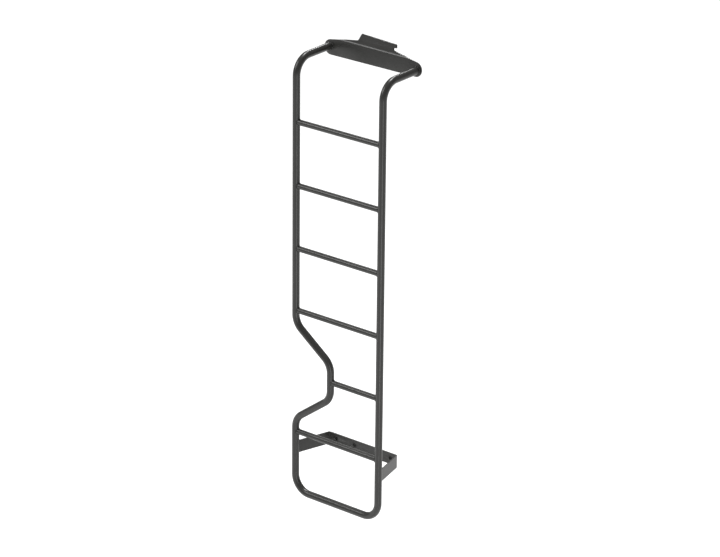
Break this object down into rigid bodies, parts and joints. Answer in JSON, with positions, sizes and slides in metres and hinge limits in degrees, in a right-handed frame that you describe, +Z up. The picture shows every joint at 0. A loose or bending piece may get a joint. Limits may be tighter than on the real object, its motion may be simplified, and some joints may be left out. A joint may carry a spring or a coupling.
{
  "type": "vehicle rear door ladder",
  "caption": "Slim tubular steel ladder that hooks over a van's rear door and bolts to its face, with round rungs and one rail jogged inwards to clear the door handle.",
  "frame": {"origin": "on the door's face, midway between the two outer door bolts", "axes": "+Z up along the rails, +X to the climber's right, +Y away from the climber, into the door"},
  "size_m": [0.5175, 0.2751, 2.0464],
  "materials": {
    "powder_coat": "satin black powder coat",
    "rubber": "matt EPDM strip",
    "zinc": "dark zinc plate"
  },
  "bodies": {
    "root": {"frame_tube": "powder_coat", "rung_1": "powder_coat", "rung_2": "powder_coat", "rung_3": "powder_coat", "rung_4": "powder_coat", "rung_5": "powder_coat", "rung_6": "powder_coat", "top_bracket": "powder_coat", "hook_lining": "rubber", "lower_bracket": "powder_coat", "door_pad": "rubber", "bolt_washers": "zinc", "door_bolts": "zinc"}
  },
  "joints": []
}
